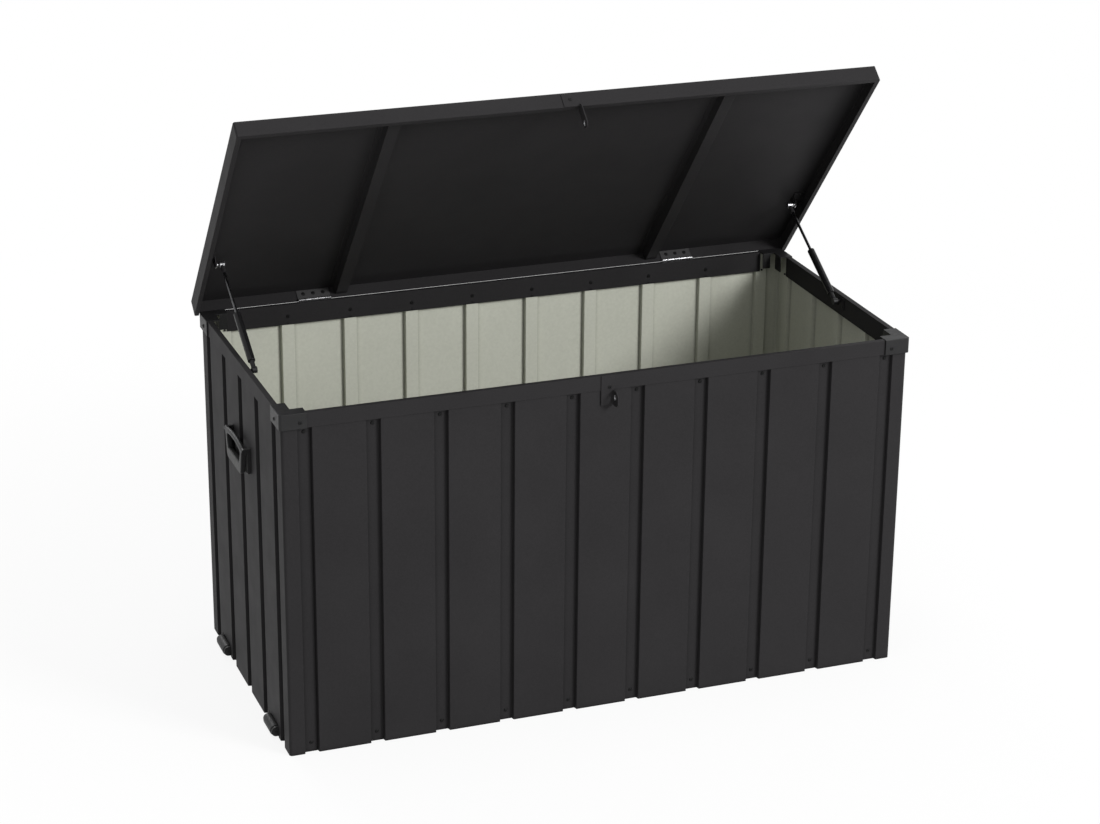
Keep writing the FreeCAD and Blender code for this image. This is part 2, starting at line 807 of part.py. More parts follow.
def roller_housing(y):
    """Moulded housing: a flanged pocket behind the wall and two rounded cheeks beside the roller."""
    face = -half_width + sheet
    back = -roller_x + roller_pocket + housing_wall
    outer = roller_pocket + housing_wall
    reach = housing_half
    arch = cylinder_y(-roller_x, y - reach, y + reach, roller_z, outer)
    arch = arch.fuse(box(-roller_x, back, y - reach, y + reach, floor_play, roller_z))
    arch = arch.common(box(face, back, y - reach, y + reach, floor_play, housing_top))
    wide = reach + housing_flange
    flange = box(face, face + housing_wall, y - wide, y + wide, floor_play, housing_top + housing_flange)
    shell = arch.fuse(flange)
    nose = roller_radius - cheek_inset
    for side in (-1, 1):
        y0, y1 = sorted((y + side * reach, y + side * (reach - cheek_thickness)))
        cheek = cylinder_y(-roller_x, y0, y1, roller_z, nose)
        cheek = cheek.fuse(box(-roller_x, face, y0, y1, roller_z - nose, roller_z + nose))
        shell = shell.fuse(cheek)
    half = roller_length / 2 + roller_side_play
    pocket = cylinder_y(-roller_x, y - half, y + half, roller_z, roller_pocket)
    way = box(-roller_x - outer, -roller_x + roller_pocket, y - half, y + half, -outer, roller_z)
    way = way.fuse(box(-roller_x - outer, -roller_x, y - half, y + half, roller_z, housing_top))
    shell = shell.cut(pocket.fuse(way))
    return shell.cut(roller_axle(y)).removeSplitter()


def eye_blade(x, outline, y, z):
    """A flat blade across the front with the padlock eye through it."""
    blade = prism([(x, a, h) for a, h in outline], Vector(lock_blade_sheet, 0, 0))
    eye = cylinder_x(x - 1, x + lock_blade_sheet + 1, y, z, lock_eye_radius)
    return blade.cut(eye)


def lock_plate_body():
    """Angle plate over the middle of the front rail, its right edge bent out as the padlock blade."""
    face = -half_depth - rail_proud
    out = face - lock_plate_sheet
    low = lock_blade_low
    high = lock_blade_high
    plate = box(lock_plate_left, lock_plate_right, out, face, low, body_height)
    tip = -half_depth - lock_blade_reach
    near = tip + lock_bevel
    outline = [
        (face, low), (near, low), (tip, low + lock_bevel),
        (tip, high - lock_bevel), (near, high), (face, high),
    ]
    blade = eye_blade(lock_plate_right - lock_blade_sheet, outline, lock_eye_y, lock_eye_height)
    return plate.fuse(blade).removeSplitter()


def lock_plate_lid():
    """Plate on the lid's front skirt, lid closed, with the blade that hangs beside the one below."""
    face = pin_y + lid_front
    out = face - lock_plate_sheet
    bottom = pin_z + lid_bottom
    top = pin_z + lid_top - lid_corner_radius
    right = lock_lid_blade_x + lock_blade_sheet
    plate = box(lock_lid_plate_left, right, out, face, bottom, top)
    wall = lock_eye_radius + lock_eye_wall
    tip = lock_eye_y - wall
    back = lock_eye_y + wall
    low = lock_eye_height - lock_lid_tip
    below = bottom - cap_play
    bevel = lock_lid_bevel
    outline = [
        (back, low + bevel), (back - bevel, low), (tip + bevel, low), (tip, low + bevel), (tip, below),
        (out, bottom + bevel), (out, below), (back, below),
    ]
    return plate.fuse(eye_blade(lock_lid_blade_x, outline, lock_eye_y, lock_eye_height)).removeSplitter()


def cross_head():
    """A pan head with a cross recess, seated at the origin and facing up."""
    head = Part.makeCone(screw_head_radius, screw_crown_radius, screw_head_height)
    low = screw_head_height - cross_depth
    half = cross_length / 2
    slim = cross_width / 2
    head = head.cut(box(-half, half, -slim, slim, low, screw_head_height))
    return head.cut(box(-slim, slim, -half, half, low, screw_head_height))


pan_head = cross_head()


def screw(point, outward, shank=screw_shank_length):
    """A pan-head screw. outward points from the seat to the head."""
    up = Vector(0, 0, 1)
    whole = pan_head.fuse(Part.makeCylinder(screw_shank_radius, shank, Vector(0, 0, 0), up * -1))
    whole.Placement = FreeCAD.Placement(point, FreeCAD.Rotation(up, outward))
    return whole


def drilled(piece, screws):
    """The piece with a hole for each screw shank."""
    return piece.cut(screws)


def wall_screws(pitch, count, place):
    """Screws in the recesses of one wall, below the top rail and at the bottom rail."""
    made = []
    outward = place(0.0, -1.0, 0.0) - place(0.0, 0.0, 0.0)
    for i, along in enumerate(recess_centres(pitch, count)):
        depth = lap_depth if i in (0, count - 1) else recess_depth
        for level in (body_height - recess_screw_top, recess_screw_bottom):
            made.append(screw(place(along, depth, level), outward, rail_inner + angle_sheet - depth))
    return made


def front_screws():
    return wall_screws(front_pitch, front_recesses, lambda a, d, z: Vector(a, -half_depth + d, z))


def side_screws():
    return wall_screws(side_pitch, side_recesses, lambda a, d, z: Vector(-half_width + d, a, z))


def cap_screws():
    """One screw in each outer face of the front left cap."""
    level = cap_top - cap_screw_drop
    x = -half_width - cap_proud
    y = -half_depth - cap_proud
    front = screw(Vector(x + cap_front_screw, y, level), Vector(0, -1, 0), cap_proud + recess_depth)
    side = screw(Vector(x, y + cap_side_screw, level), Vector(-1, 0, 0), cap_proud + sheet)
    return [front, side]


def rail_rivets():
    """Rivets through the inner leg of the back rail, one at each recess."""
    level = body_height - rivet_height
    face = half_depth - rail_inner
    made = []
    for along in recess_centres(front_pitch, front_recesses)[1:-1]:
        made.append(screw(Vector(along, face, level), Vector(0, -1, 0), rail_sheet + rail_play + sheet))
    return made


def lock_screws():
    """The screw of each padlock plate: on the rail, and on the lid's skirt, lid closed."""
    face = -half_depth - rail_proud - lock_plate_sheet
    body = screw(Vector(lock_screw_x, face, body_height - lock_screw_drop), Vector(0, -1, 0))
    lid_face = pin_y + lid_front - lock_plate_sheet
    lid_x = (lock_lid_plate_left + lock_lid_blade_x) / 2
    lid = screw(Vector(lid_x, lid_face, pin_z + (lid_bottom + lid_top) / 2), Vector(0, -1, 0))
    return body, lid


def hinge_screws(up):
    """Screws of both hinges, for the leaves on the lid (up 1) or on the rail (up -1)."""
    face = hinge_knuckle_radius + hinge_rail_play - hinge_leaf_sheet
    made = []
    for centre in (-hinge_offset, hinge_offset):
        for step in (-1, 0, 1):
            x = centre + step * hinge_screw_pitch
            y = pin_y + up * face
            z = pin_z + up * hinge_screw_height
            made.append(screw(Vector(x, y, z), Vector(0, -up, 0), hinge_leaf_sheet + 2 * lid_sheet))
    return made


def handle_screws():
    """Two screws in the lower corners of the left handle's base."""
    out = -half_width - handle_base_thickness
    level = handle_height - handle_base_bottom + handle_base_corner
    made = []
    for side in (-1, 1):
        along = side * (handle_base_half - handle_base_corner)
        made.append(screw(Vector(out, along, level), Vector(-1, 0, 0), handle_base_thickness + sheet))
    return made


def bracket_screws_lower():
    """Two screws in the plate of the right strut's lower bracket."""
    face = half_width - rail_inner - bracket_sheet
    made = []
    for side in (-1, 1):
        y = strut_lower.y + side * lower_screw_pitch / 2
        point = Vector(face, y, strut_lower.z - lower_screw_drop)
        made.append(screw(point, Vector(-1, 0, 0), bracket_sheet + rail_sheet))
    return made


def bracket_screws_upper():
    """Two screws in the base of the right strut's upper bracket, lid closed."""
    x = upper_ball_end + 2 * ball_radius - bracket_sheet + upper_screw_inset
    z = pin_z + lid_under - bracket_sheet
    made = []
    for side in (-1, 1):
        point = Vector(x, strut_upper_closed.y + side * upper_screw_pitch / 2, z)
        made.append(screw(point, Vector(0, 0, -1), bracket_sheet + lid_sheet / 2))
    return made


def group(shapes):
    """Separate solids kept in one node."""
    return Part.makeCompound(shapes)


def both_x(shapes):
    return list(shapes) + [mirror_x(s) for s in shapes]


def both_y(shapes):
    return list(shapes) + [mirror_y(s) for s in shapes]


def build_walls(nodes):
    front = front_screws()
    side = side_screws()
    caps = cap_screws()
    handles = handle_screws()
    wall_sheet = drilled(front_panel(), front)
    nodes["front_panel"] = drilled(wall_sheet, [lock_screws()[0]])
    nodes["back_panel"] = drilled(mirror_y(wall_sheet), rail_rivets() + hinge_screws(-1))
    right = mirror_x(side_panel())
    nodes["left_panel"] = drilled(left_panel(), side + handles)
    nodes["right_panel"] = drilled(right, [mirror_x(s) for s in side + handles])
    near = [s for s in front + side if s.BoundBox.XMin < 0 and s.BoundBox.YMin < 0]
    column = drilled(corner_column(), near + caps)
    add_corners(nodes, "corner_column", column)
    nodes["wall_screws"] = group(both_y(front) + both_x(side))


def add_corners(nodes, name, shape):
    """The four mirrored copies of a corner piece."""
    right = mirror_x(shape)
    nodes[name + "_front_left"] = shape
    nodes[name + "_front_right"] = right
    nodes[name + "_back_left"] = mirror_y(shape)
    nodes[name + "_back_right"] = mirror_y(right)


def build_frame(nodes):
    front = front_screws()
    side = side_screws()
    lock_body = lock_screws()[0]
    rivets = rail_rivets()
    nodes["floor_panel"] = floor_panel()
    nodes["bottom_rail_front"] = drilled(bottom_rail_front(), front)
    nodes["bottom_rail_back"] = mirror_y(nodes["bottom_rail_front"])
    nodes["bottom_rail_left"] = drilled(bottom_rail_left(), side)
    nodes["bottom_rail_right"] = mirror_x(drilled(bottom_rail_side(), side))
    nodes["top_rail_front"] = drilled(top_rail_front(), front + [lock_body])
    back = mirror_y(drilled(top_rail_front(), front))
    nodes["top_rail_back"] = drilled(back, rivets + hinge_screws(-1))
    nodes["top_rail_left"] = drilled(top_rail_side(), side + [mirror_x(s) for s in bracket_screws_lower()])
    nodes["top_rail_right"] = mirror_x(nodes["top_rail_left"])
    caps = cap_screws()
    add_corners(nodes, "corner_cap", drilled(corner_cap(), caps))
    nodes["rail_screws"] = group(rivets + both_y(both_x(caps)))


def build_lid(nodes):
    lock_body, lock_lid = lock_screws()
    upper = both_x(bracket_screws_upper())
    leaf_screws = hinge_screws(1)
    pan = drilled(lid_pan(), upper + leaf_screws + [lock_lid])
    nodes["lid_pan"] = opened(pan)
    stiffener = lid_stiffener()
    nodes["lid_stiffener_right"] = opened(stiffener)
    nodes["lid_stiffener_left"] = opened(mirror_x(stiffener))
    nodes["lock_plate_lid"] = opened(drilled(lock_plate_lid(), [lock_lid]))
    nodes["lock_plate_body"] = drilled(lock_plate_body(), [lock_body])
    bracket = drilled(upper_bracket(), bracket_screws_upper())
    nodes["strut_bracket_lid_right"] = opened(bracket)
    nodes["strut_bracket_lid_left"] = opened(mirror_x(bracket))
    nodes["lid_screws"] = opened(group(upper + leaf_screws + [lock_lid]))
    return lock_body


def build_hinges(nodes):
    body_screws = hinge_screws(-1)
    lid_screws = hinge_screws(1)
    for name, x in (("left", -hinge_offset), ("right", hinge_offset)):
        nodes["hinge_leaf_body_" + name] = drilled(hinge_leaf(x, -1), body_screws)
        nodes["hinge_leaf_lid_" + name] = opened(drilled(hinge_leaf(x, 1), lid_screws))
    nodes["hinge_pins"] = group([hinge_pin_bar(-hinge_offset), hinge_pin_bar(hinge_offset)])
    return body_screws


def build_struts(nodes):
    pieces = {
        "tube": strut_tube(),
        "gland": strut_gland(),
        "rod": strut_rod(),
        "lower_socket": strut_lower_socket(),
        "upper_socket": strut_upper_socket(),
    }
    bracket = drilled(lower_bracket(), bracket_screws_lower())
    for name, shape in pieces.items():
        nodes["strut_" + name + "_right"] = shape
        nodes["strut_" + name + "_left"] = mirror_x(shape)
    nodes["strut_bracket_body_right"] = bracket
    nodes["strut_bracket_body_left"] = mirror_x(bracket)


def build_handles(nodes):
    base = drilled(handle_base(), handle_screws())
    grip = handle_grip()
    nodes["handle_base_left"] = base
    nodes["handle_base_right"] = mirror_x(base)
    nodes["handle_grip_left"] = grip
    nodes["handle_grip_right"] = mirror_x(grip)
    nodes["handle_screws"] = group(both_x(handle_screws()))


def build_rollers(nodes):
    for name, y in zip(("front", "back"), roller_places()):
        nodes["roller_" + name] = roller(y)
        nodes["roller_housing_" + name] = roller_housing(y)
    nodes["roller_axles"] = group([roller_axle(y) for y in roller_places()])


def main():
    os.makedirs("parts", exist_ok=True)
    nodes = {}
    build_walls(nodes)
    build_frame(nodes)
    lock_body = build_lid(nodes)
    hinge_body = build_hinges(nodes)
    build_struts(nodes)
    build_handles(nodes)
    build_rollers(nodes)
    nodes["fitting_screws"] = group([lock_body] + hinge_body + both_x(bracket_screws_lower()))
    for name, shape in nodes.items():
        shape.exportStep("parts/" + name + ".step")
    upper, length, angle = strut_frame()
    closed = strut_upper_closed - strut_lower
    print("nodes", len(nodes))
    print("strut open", round(length, 3), "at", round(angle, 4), "closed", round(closed.Length, 3))
    print("strut closed angle", round(math.degrees(math.atan2(closed.z, closed.y)), 4))
    for name, shape in nodes.items():
        if not shape.isValid():
            print("not valid", name)


main()
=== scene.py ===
import json
import math

import bpy
from mathutils import Matrix, Vector


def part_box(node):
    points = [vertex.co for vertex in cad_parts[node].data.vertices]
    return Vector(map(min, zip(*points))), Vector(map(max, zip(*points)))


# Garden storage chest of dark coated sheet steel, pale inside, its lid held open by two gas struts.
# Metres. +Z up, -Y is the front, +X the right.

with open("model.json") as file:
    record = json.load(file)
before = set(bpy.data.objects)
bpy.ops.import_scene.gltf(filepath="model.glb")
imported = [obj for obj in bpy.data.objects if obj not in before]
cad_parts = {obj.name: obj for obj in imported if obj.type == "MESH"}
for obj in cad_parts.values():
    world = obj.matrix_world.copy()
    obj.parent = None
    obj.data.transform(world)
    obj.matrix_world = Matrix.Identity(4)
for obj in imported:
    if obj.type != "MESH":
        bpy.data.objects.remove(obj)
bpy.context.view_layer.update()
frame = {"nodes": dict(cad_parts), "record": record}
nodes = frame["nodes"]

# The photograph's camera
photo_width = 1100
focal_pixels = 2769.7
sensor_width = 36.0
near_clip = 0.1
far_clip = 200.0
camera_place = Vector((-1.8537, -4.9153, 2.5738))
camera_azimuth = math.radians(-20.657)
camera_elevation = math.radians(21.350)
camera_roll = math.radians(0.531)

# Colours, linear, each material's darkest and lightest
dark_coat = ((0.0185, 0.0177, 0.0186), (0.0244, 0.0234, 0.0245))
pale_coat = ((0.505, 0.515, 0.445), (0.580, 0.590, 0.515))
leaf_coat = ((0.0400, 0.0394, 0.0402), (0.0560, 0.0553, 0.0562))
plastic = ((0.0110, 0.0110, 0.0115), (0.0170, 0.0170, 0.0175))
roller_black = ((0.0170, 0.0170, 0.0175), (0.0270, 0.0270, 0.0275))
zinc = ((0.30, 0.30, 0.31), (0.52, 0.52, 0.53))
worn_steel = ((0.070, 0.070, 0.073), (0.130, 0.130, 0.134))
screw_black = ((0.0060, 0.0060, 0.0062), (0.0120, 0.0120, 0.0122))
tube_black = ((0.0070, 0.0070, 0.0075), (0.0130, 0.0130, 0.0135))
rod_grey = ((0.060, 0.060, 0.063), (0.110, 0.110, 0.114))
floor_colour = (0.95, 0.95, 0.95, 1.0)
white = (1.0, 1.0, 1.0, 1.0)

# Specular level of the baked coat, of moulded plastic and of blackened steel
coat_specular = 0.085
plastic_specular = 0.22
black_specular = 0.18

# Roughness, smoothest and roughest patch
frame_roughness = (0.56, 0.61)
wall_roughness = (0.56, 0.62)
plastic_roughness = (0.41, 0.52)
roller_roughness = (0.45, 0.56)
plate_roughness = (0.26, 0.42)
bare_roughness = (0.24, 0.34)
part_roughness = 0.56
screw_roughness = (0.41, 0.51)
tube_roughness = (0.16, 0.26)
rod_roughness = (0.24, 0.34)

# Noise: the part of its range that carries its whole contrast, and how many finer layers it has
noise_low = 0.30
noise_high = 0.70
plain_detail = 2.0
fine_detail = 3.0
finest_detail = 4.0

# Share of the fine speckle in a colour's variation, the rest is slow tone changes
speckle_share = 0.55

# Powder coat: speckle, slow tone changes, patches of other roughness, and orange peel with its depth
coat_speckle = 0.0035
coat_tone = 0.16
coat_patch = 0.05
peel_size = 0.0022
peel_depth = 0.00012
peel_strength = 0.55

# The pale coat's speckle and slow tone changes
pale_speckle = 0.006
pale_tone = 0.22

# Size of the grain of moulded plastic
plastic_grain = 0.0012
roller_grain = 0.002

# Rounding of the sheet edges as the light sees it, how far the normals agree where an edge is full and
# where it starts, the size and contrast of the patches of painted highlight on it, and how much paler they
# are
edge_samples = 4
edge_radius = 0.0012
edge_full = 0.80
edge_start = 0.99
highlight_patch_size = 0.012
highlight_patch_low = 0.40
highlight_patch_high = 0.65
edge_highlight_gain = 2.0

# Painted shade in folds, grooves and corners of the sheet: how far it reaches, how open the place is where
# it is full and where it ends, and how dark it gets
occlusion_samples = 8
occlusion_reach = 0.010
occlusion_full = 0.45
occlusion_end = 0.95
occlusion_darkest = 0.60

# Bare metal: how far it reaches from the axis of the hinge pins, of the struts' upper balls and of the
# padlock eyes, and where the balls stand from the pins while the lid is open
knuckle_reach = 0.0033
ball_reach = 0.0068
eye_reach = 0.0068
upper_ball_ahead_of_pin = 0.0950
upper_ball_above_pin = 0.1272

# Sheet walls: the band along each outer plane that holds the profile, and the least turn of a face's
# normal that counts as looking inside, or up on the floor sheet
wall_band = 0.0092
normal_threshold = 0.05

# Stage: half the floor's side, the share of the shadow that the floor keeps near the chest, and how far it
# keeps it. Room light, and the soft boxes with name, place, side and watts, all turned to one point
floor_half = 30.0
shadow_share = 0.12
shadow_near = 1.2
shadow_far = 3.0
room_strength = 0.48
lamp_target = Vector((0.0, 0.0, 0.4))
lamps = (
    ("key", (5.0, -6.6, 4.6), 2.7, 640.0),
    ("top", (0.0, -0.4, 3.8), 2.4, 25.0),
    ("back", (-1.0, 5.2, 3.4), 2.4, 110.0),
)

# Sockets of the Mix node when it mixes colours
mix_factor = 0
mix_first = 6
mix_second = 7
mix_result = 2


def new_material(name):
    """A material with an empty node tree and its Principled shader."""
    material = bpy.data.materials.new(name)
    material.use_nodes = True
    tree = material.node_tree
    tree.nodes.clear()
    output = tree.nodes.new("ShaderNodeOutputMaterial")
    shader = tree.nodes.new("ShaderNodeBsdfPrincipled")
    tree.links.new(shader.outputs["BSDF"], output.inputs["Surface"])
    return material, tree, shader


def place(tree):
    """Position on the piece, in metres."""
    return tree.nodes.new("ShaderNodeTexCoord").outputs["Object"]


def noise(tree, coordinate, size, detail=plain_detail, stretch=(1.0, 1.0, 1.0)):
    """Noise whose features are about size metres wide, drawn out along an axis by stretch."""
    mapping = tree.nodes.new("ShaderNodeMapping")
    mapping.inputs["Scale"].default_value = [s / size for s in stretch]
    tree.links.new(coordinate, mapping.inputs["Vector"])
    texture = tree.nodes.new("ShaderNodeTexNoise")
    texture.inputs["Scale"].default_value = 1.0
    texture.inputs["Detail"].default_value = detail
    tree.links.new(mapping.outputs["Vector"], texture.inputs["Vector"])
    return texture.outputs["Fac"]


def spread(tree, value, low, high, to_low, to_high):
    """A value carried from one range to another, held at the ends."""
    ranged = tree.nodes.new("ShaderNodeMapRange")
    ranged.inputs["From Min"].default_value = low
    ranged.inputs["From Max"].default_value = high
    ranged.inputs["To Min"].default_value = to_low
    ranged.inputs["To Max"].default_value = to_high
    tree.links.new(value, ranged.inputs["Value"])
    return ranged.outputs["Result"]


def contrast(tree, value, to_range=(0.0, 1.0)):
    """A noise carried to a range of its own."""
    return spread(tree, value, noise_low, noise_high, *to_range)


def math_node(tree, operation, *values):
    """One arithmetic step. Each value is a socket or a number."""
    step = tree.nodes.new("ShaderNodeMath")
    step.operation = operation
    for socket, value in zip(step.inputs, values):
        if isinstance(value, (int, float)):
            socket.default_value = value
        else:
            tree.links.new(value, socket)
    return step.outputs["Value"]


def blend_colours(tree, factor, *colours):
    """Colour between two. Each is a colour or a socket."""
    mix = tree.nodes.new("ShaderNodeMix")
    mix.data_type = "RGBA"
    for index, value in zip((mix_first, mix_second), colours):
        if isinstance(value, tuple):
            mix.inputs[index].default_value = (*value, 1.0)
        else:
            tree.links.new(value, mix.inputs[index])
    tree.links.new(factor, mix.inputs[mix_factor])
    return mix.outputs[mix_result]


def scaled(tree, colour, factor):
    """A colour times a factor, which is a socket or a number."""
    product = tree.nodes.new("ShaderNodeVectorMath")
    product.operation = "SCALE"
    tree.links.new(colour, product.inputs[0])
    if isinstance(factor, float):
        product.inputs["Scale"].default_value = factor
    else:
        tree.links.new(factor, product.inputs["Scale"])
    return product.outputs["Vector"]


def bump(tree, shader, height, distance, strength, normal=None):
    """Relief of the given depth in metres on the shader's surface, or on a given normal."""
    relief = tree.nodes.new("ShaderNodeBump")
    if normal is not None:
        tree.links.new(normal, relief.inputs["Normal"])
    relief.inputs["Distance"].default_value = distance
    relief.inputs["Strength"].default_value = strength
    tree.links.new(height, relief.inputs["Height"])
    tree.links.new(relief.outputs["Normal"], shader.inputs["Normal"])


def distance_across(tree, coordinate, y, z):
    """Distance in metres from the line along X through y and z."""
    offset = tree.nodes.new("ShaderNodeVectorMath")
    offset.operation = "SUBTRACT"
    offset.inputs[1].default_value = (0.0, y, z)
    tree.links.new(coordinate, offset.inputs[0])
    flat = tree.nodes.new("ShaderNodeVectorMath")
    flat.operation = "MULTIPLY"
    flat.inputs[1].default_value = (0.0, 1.0, 1.0)
    tree.links.new(offset.outputs["Vector"], flat.inputs[0])
    length = tree.nodes.new("ShaderNodeVectorMath")
    length.operation = "LENGTH"
    tree.links.new(flat.outputs["Vector"], length.inputs[0])
    return length.outputs["Value"]


def rounded_edges(tree):
    """The normal with every edge rounded, and a mask that is 1 on the edges."""
    bevel = tree.nodes.new("ShaderNodeBevel")
    bevel.samples = edge_samples
    bevel.inputs["Radius"].default_value = edge_radius
    surface = tree.nodes.new("ShaderNodeNewGeometry")
    agreement = tree.nodes.new("ShaderNodeVectorMath")
    agreement.operation = "DOT_PRODUCT"
    tree.links.new(bevel.outputs["Normal"], agreement.inputs[0])
    tree.links.new(surface.outputs["Normal"], agreement.inputs[1])
    edge = spread(tree, agreement.outputs["Value"], edge_full, edge_start, 1.0, 0.0)
    return bevel.outputs["Normal"], edge


def painted_edge_highlight(tree, coordinate, colour, edge):
    """The colour with a painted highlight: paler along the edges, in broken patches."""
    patches = spread(tree, noise(tree, coordinate, highlight_patch_size, finest_detail), highlight_patch_low, highlight_patch_high, 0.0, 1.0)
    share = math_node(tree, "MULTIPLY", edge, patches)
    return blend_colours(tree, share, colour, scaled(tree, colour, edge_highlight_gain))


def painted_occlusion_shade(tree, colour):
    """The colour with painted shade: darker where little light enters, in folds, grooves and corners."""
    hollow = tree.nodes.new("ShaderNodeAmbientOcclusion")
    hollow.samples = occlusion_samples
    hollow.inputs["Distance"].default_value = occlusion_reach
    shade = spread(tree, hollow.outputs["AO"], occlusion_full, occlusion_end, occlusion_darkest, 1.0)
    return scaled(tree, colour, shade)


def mottle(tree, coordinate, small, large):
    """Colour variation at two scales, from 0 to 1."""
    fine = math_node(tree, "MULTIPLY", noise(tree, coordinate, small, fine_detail), speckle_share)
    broad = math_node(tree, "MULTIPLY", noise(tree, coordinate, large), 1.0 - speckle_share)
    return contrast(tree, math_node(tree, "ADD", fine, broad))


def coat_relief(tree, shader, coordinate, roughness, normal=None):
    """Gloss and orange peel of a baked powder coat."""
    patches = noise(tree, coordinate, coat_patch, fine_detail)
    tree.links.new(contrast(tree, patches, roughness), shader.inputs["Roughness"])
    shader.inputs["Specular IOR Level"].default_value = coat_specular
    bump(tree, shader, noise(tree, coordinate, peel_size), peel_depth, peel_strength, normal)


def frame_coat():
    """Fine textured powder coat of rails and lid: speckle, slow tone changes and a painted highlight along
    the edges.
    """
    material, tree, shader = new_material("frame_coat")
    coordinate = place(tree)
    normal, edge = rounded_edges(tree)
    colour = blend_colours(tree, mottle(tree, coordinate, coat_speckle, coat_tone), *dark_coat)
    tree.links.new(painted_edge_highlight(tree, coordinate, colour, edge), shader.inputs["Base Color"])
    coat_relief(tree, shader, coordinate, frame_roughness, normal)
    return material


def toward_inside(tree, coordinate, normal, axis, outer):
    """1 on the faces that look inside, in the band of the walls whose outer plane is outer metres out."""
    position = tree.nodes.new("ShaderNodeSeparateXYZ")
    tree.links.new(coordinate, position.inputs["Vector"])
    direction = tree.nodes.new("ShaderNodeSeparateXYZ")
    tree.links.new(normal, direction.inputs["Vector"])
    along = position.outputs[axis]
    near = math_node(tree, "GREATER_THAN", math_node(tree, "ABSOLUTE", along), outer - wall_band)
    outward = math_node(tree, "MULTIPLY", direction.outputs[axis], math_node(tree, "SIGN", along))
    inward = math_node(tree, "MULTIPLY", outward, -1.0)
    return math_node(tree, "MULTIPLY", near, math_node(tree, "GREATER_THAN", inward, normal_threshold))


def wall_coat():
    """Wall sheet: dark coat outside and the pale backing coat on the faces that look inside."""
    material, tree, shader = new_material("wall_coat")
    coordinates = tree.nodes.new("ShaderNodeTexCoord")
    coordinate = coordinates.outputs["Object"]
    facing = coordinates.outputs["Normal"]
    normal, edge = rounded_edges(tree)
    coat = blend_colours(tree, mottle(tree, coordinate, coat_speckle, coat_tone), *dark_coat)
    # Painted highlight: the coat is paler along the edges, in broken patches.
    dark = painted_edge_highlight(tree, coordinate, coat, edge)
    pale = blend_colours(tree, mottle(tree, coordinate, pale_speckle, pale_tone), *pale_coat)
    side = toward_inside(tree, coordinate, facing, "X", -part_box("left_panel")[0].x)
    end = toward_inside(tree, coordinate, facing, "Y", -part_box("front_panel")[0].y)
    inside = math_node(tree, "MAXIMUM", side, end)
    # Painted shade darkens the colour in folds, grooves and corners.
    tree.links.new(painted_occlusion_shade(tree, blend_colours(tree, inside, dark, pale)), shader.inputs["Base Color"])
    coat_relief(tree, shader, coordinate, wall_roughness, normal)
    return material


def floor_coat():
    """Floor sheet: pale backing coat on top, dark coat beneath."""
    material, tree, shader = new_material("floor_coat")
    coordinates = tree.nodes.new("ShaderNodeTexCoord")
    coordinate = coordinates.outputs["Object"]
    direction = tree.nodes.new("ShaderNodeSeparateXYZ")
    tree.links.new(coordinates.outputs["Normal"], direction.inputs["Vector"])
    up = math_node(tree, "GREATER_THAN", direction.outputs["Z"], normal_threshold)
    dark = blend_colours(tree, mottle(tree, coordinate, coat_speckle, coat_tone), *dark_coat)
    pale = blend_colours(tree, mottle(tree, coordinate, pale_speckle, pale_tone), *pale_coat)
    # Painted shade darkens the colour in folds, grooves and corners.
    tree.links.new(painted_occlusion_shade(tree, blend_colours(tree, up, dark, pale)), shader.inputs["Base Color"])
    coat_relief(tree, shader, coordinate, wall_roughness)
    return material


def moulded_plastic(name, colours, roughness, grain):
    """Moulded plastic with a fine spark-eroded grain."""
    speckle = 0.002
    tone = 0.03
    patch = 0.008
    grain_depth = 0.00006
    grain_strength = 0.5
    material, tree, shader = new_material(name)
    coordinate = place(tree)
    normal, edge = rounded_edges(tree)
    colour = blend_colours(tree, mottle(tree, coordinate, speckle, tone), *colours)
    # Painted highlight: the colour is paler along the edges, in broken patches.
    tree.links.new(painted_edge_highlight(tree, coordinate, colour, edge), shader.inputs["Base Color"])
    rough = noise(tree, coordinate, patch, fine_detail)
    tree.links.new(contrast(tree, rough, roughness), shader.inputs["Roughness"])
    shader.inputs["Specular IOR Level"].default_value = plastic_specular
    relief = noise(tree, coordinate, grain, fine_detail)
    bump(tree, shader, relief, grain_depth, grain_strength, normal)
    return material


def zinc_plate():
    """Zinc plated steel with the fine lines of rolled strip."""
    line_width = 0.0006
    line_stretch = (0.05, 1.0, 1.0)
    line_depth = 0.00004
    line_strength = 0.4
    cloud = 0.006
    pale_from = 0.35
    pale_to = 0.65
    material, tree, shader = new_material("zinc_plate")
    coordinate = place(tree)
    lines = noise(tree, coordinate, line_width, stretch=line_stretch)
    clouds = noise(tree, coordinate, cloud, fine_detail)
    mixed = math_node(tree, "MULTIPLY", math_node(tree, "ADD", lines, clouds), 0.5)
    colour = blend_colours(tree, spread(tree, mixed, pale_from, pale_to, 0.0, 1.0), *zinc)
    tree.links.new(colour, shader.inputs["Base Color"])
    tree.links.new(contrast(tree, mixed, plate_roughness), shader.inputs["Roughness"])
    shader.inputs["Metallic"].default_value = 1.0
    bump(tree, shader, lines, line_depth, line_strength)
    return material


